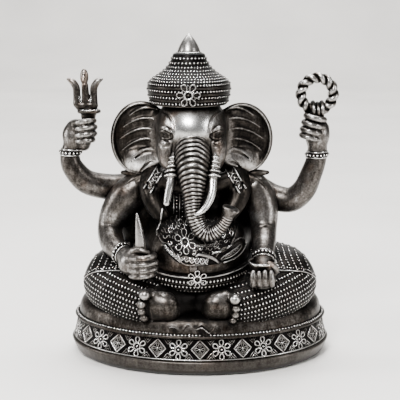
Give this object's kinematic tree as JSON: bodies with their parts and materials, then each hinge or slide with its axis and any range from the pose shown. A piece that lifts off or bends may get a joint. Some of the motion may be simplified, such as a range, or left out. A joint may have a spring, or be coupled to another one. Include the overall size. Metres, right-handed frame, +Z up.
{
  "type": "seated ganesha idol",
  "caption": "Seated four-armed elephant-headed figure in antique silver finish on an oval patterned plinth, made to stand on a shelf or shrine.",
  "frame": {"origin": "middle of the underside of the felt pad under the oval plinth", "axes": "+Z up through the crown, the idol faces -Y, its own right side is at -X"},
  "size_m": [0.1687, 0.104, 0.1966],
  "materials": {
    "antique_silver": "cast resin under an antique silver paint, dark in the recesses and rubbed bright on the high places",
    "patterned_silver": "cast resin with a fine raised pattern, near-black ground and bright silver beads and lines",
    "bright_silver": "cast resin under silver paint, rubbed bright",
    "felt": "thin black felt",
    "pin_steel": "plain steel rod"
  },
  "bodies": {
    "root": {"felt_pad": "felt", "plinth": "patterned_silver", "bead_rim": "patterned_silver", "seat": "antique_silver", "hem_cloth": "patterned_silver", "right_leg": "patterned_silver", "left_leg": "patterned_silver", "right_foot": "antique_silver", "left_foot": "antique_silver", "torso": "antique_silver", "shawl": "patterned_silver", "bib": "patterned_silver", "bib_flower": "bright_silver", "sash": "patterned_silver", "waist_belt": "patterned_silver", "belt_flower": "bright_silver", "head": "antique_silver", "right_ear": "antique_silver", "left_ear": "antique_silver", "right_tusk": "bright_silver", "left_tusk": "bright_silver", "crown": "patterned_silver", "crown_finial": "bright_silver", "crown_flower": "bright_silver", "upper_right_arm": "antique_silver", "upper_left_arm": "antique_silver", "lower_right_arm": "antique_silver", "lower_left_arm": "antique_silver", "right_shoulder_guard": "antique_silver", "left_shoulder_guard": "antique_silver", "upper_right_bangle": "bright_silver", "upper_left_bangle": "bright_silver", "lower_right_bangle": "bright_silver", "lower_left_bangle": "bright_silver", "trident": "antique_silver", "noose": "antique_silver", "held_tusk": "bright_silver", "sweet_bowl": "antique_silver", "sweet": "antique_silver", "arm_pins": "pin_steel", "neck_pin": "pin_steel"}
  },
  "joints": []
}
